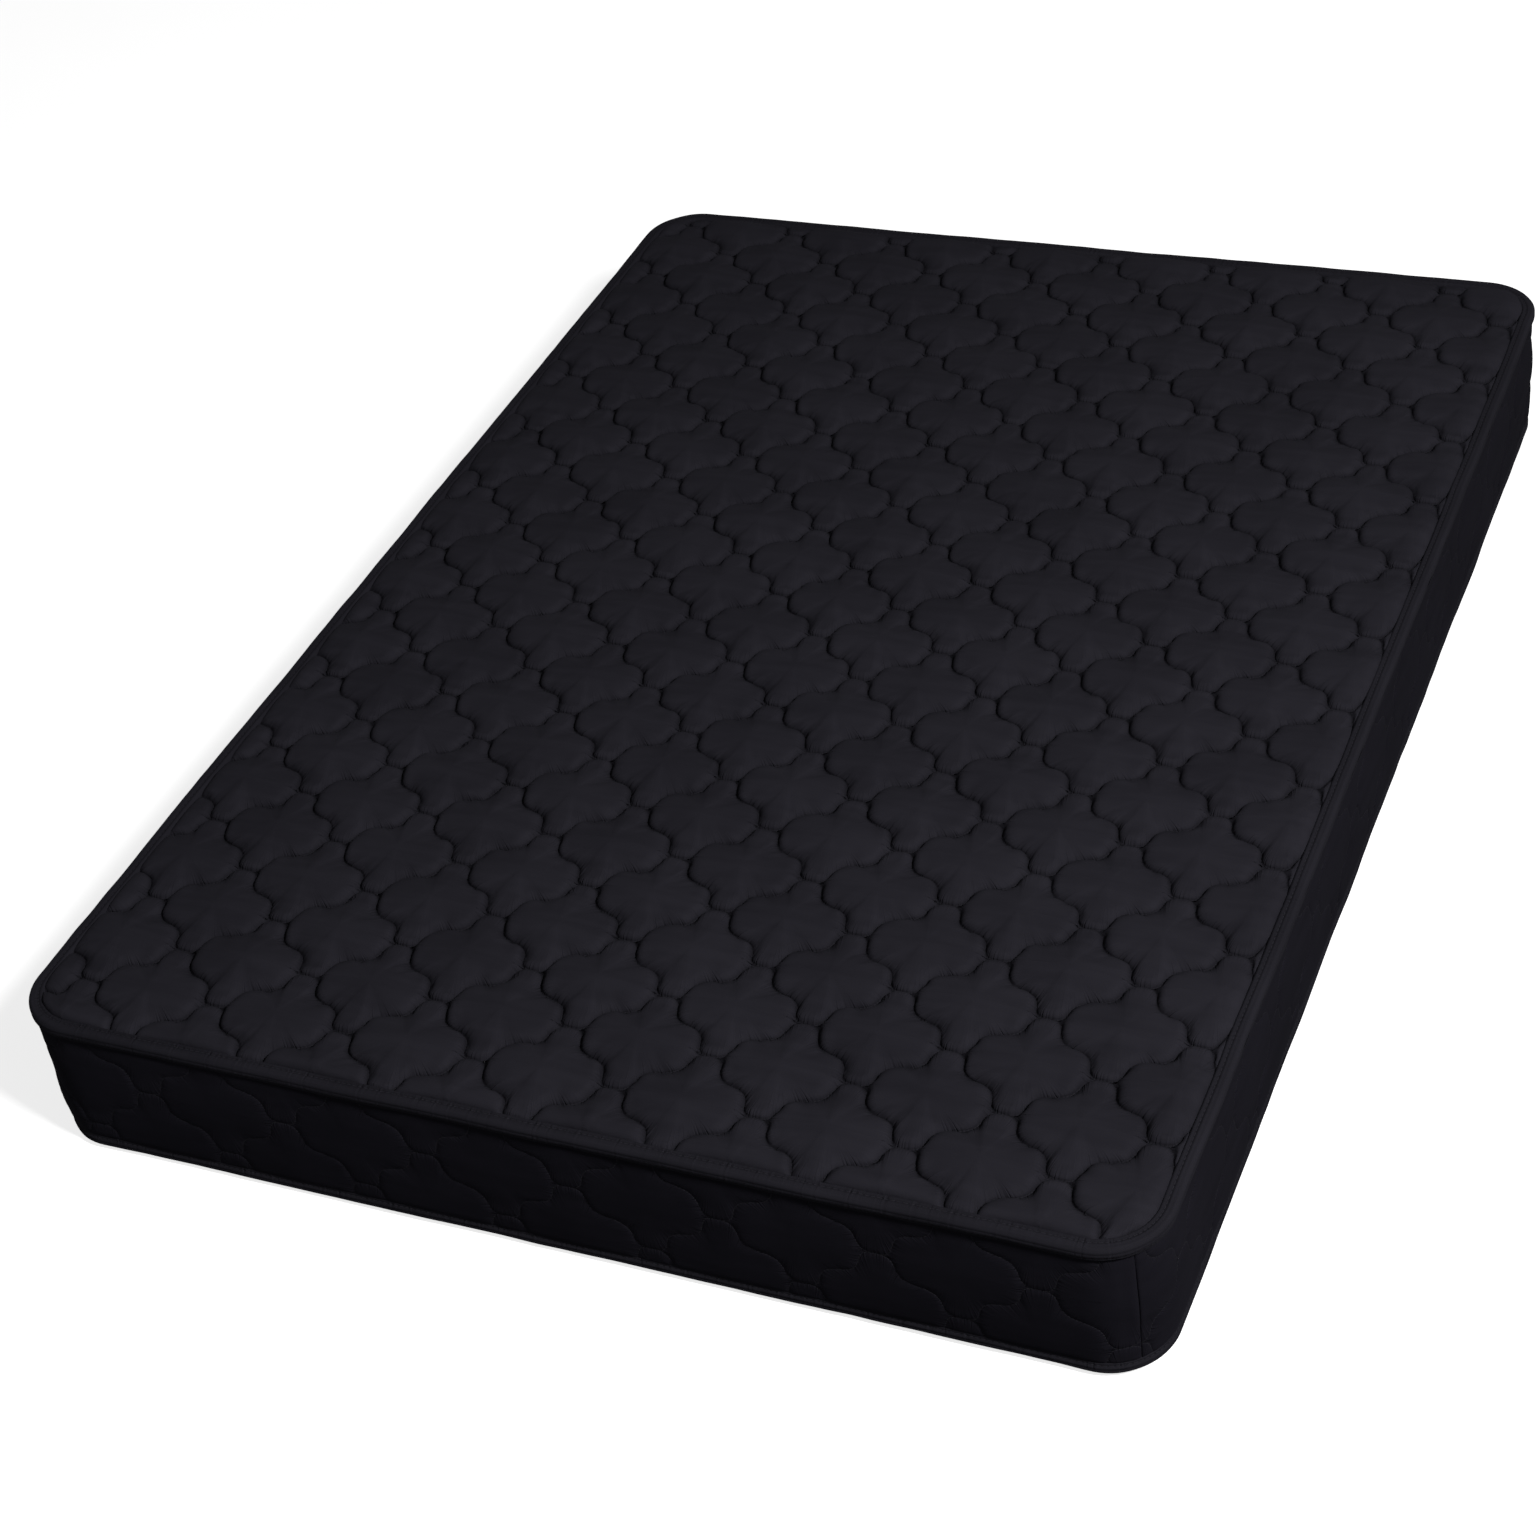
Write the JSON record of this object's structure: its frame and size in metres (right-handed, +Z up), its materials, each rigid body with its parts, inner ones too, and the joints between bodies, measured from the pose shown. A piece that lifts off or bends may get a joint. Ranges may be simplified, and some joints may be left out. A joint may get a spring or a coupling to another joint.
{
  "type": "futon mattress",
  "caption": "Full-size quilted futon mattress with a trellis-quilted microfibre cover, taped rims and a pocketed coil core, folding across its width from bed to sofa.",
  "frame": {"origin": "on the floor plane, under the middle of the mattress's underside", "axes": "+X across the short side, from the seat half to the back half; +Y along the long side, parallel to the fold; +Z up"},
  "size_m": [1.372, 1.905, 0.203],
  "materials": {
    "quilted_microfibre": "matt brushed microfibre, charcoal black, quilted",
    "border_microfibre": "matt brushed microfibre, charcoal black, lightly quilted",
    "binding_tape": "folded twill binding tape, black, slight sheen",
    "comfort_foam": "open-cell polyurethane foam, pale cream",
    "felt_pad": "needled fibre insulator felt, grey",
    "rail_foam": "firm open-cell polyurethane foam, pale blue-grey",
    "pocket_nonwoven": "white spun-bonded nonwoven pockets round steel springs"
  },
  "bodies": {
    "seat_half": {"bottom_panel_seat": "quilted_microfibre", "top_panel_seat": "quilted_microfibre", "border_seat": "border_microfibre", "bottom_tape_seat": "binding_tape", "top_tape_seat": "binding_tape", "bottom_foam_seat": "comfort_foam", "top_foam_seat": "comfort_foam", "bottom_pad_seat": "felt_pad", "top_pad_seat": "felt_pad", "side_rail_seat": "rail_foam", "foot_rail_seat": "rail_foam", "head_rail_seat": "rail_foam", "coil_string_seat_1": "pocket_nonwoven", "coil_string_seat_2": "pocket_nonwoven", "coil_string_seat_3": "pocket_nonwoven", "coil_string_seat_4": "pocket_nonwoven", "coil_string_seat_5": "pocket_nonwoven", "coil_string_seat_6": "pocket_nonwoven", "coil_string_seat_7": "pocket_nonwoven", "coil_string_seat_8": "pocket_nonwoven", "coil_string_seat_9": "pocket_nonwoven"},
    "back_half": {"bottom_panel_back": "quilted_microfibre", "top_panel_back": "quilted_microfibre", "border_back": "border_microfibre", "bottom_tape_back": "binding_tape", "top_tape_back": "binding_tape", "bottom_foam_back": "comfort_foam", "top_foam_back": "comfort_foam", "bottom_pad_back": "felt_pad", "top_pad_back": "felt_pad", "side_rail_back": "rail_foam", "foot_rail_back": "rail_foam", "head_rail_back": "rail_foam", "coil_string_back_1": "pocket_nonwoven", "coil_string_back_2": "pocket_nonwoven", "coil_string_back_3": "pocket_nonwoven", "coil_string_back_4": "pocket_nonwoven", "coil_string_back_5": "pocket_nonwoven", "coil_string_back_6": "pocket_nonwoven", "coil_string_back_7": "pocket_nonwoven", "coil_string_back_8": "pocket_nonwoven", "coil_string_back_9": "pocket_nonwoven"}
  },
  "joints": [
    {"name": "fold", "type": "hinge", "parent": "seat_half", "child": "back_half", "pos_m": [0, 0, 0.203], "axis": [0, -1, 0], "range_deg": [0, 75]}
  ]
}
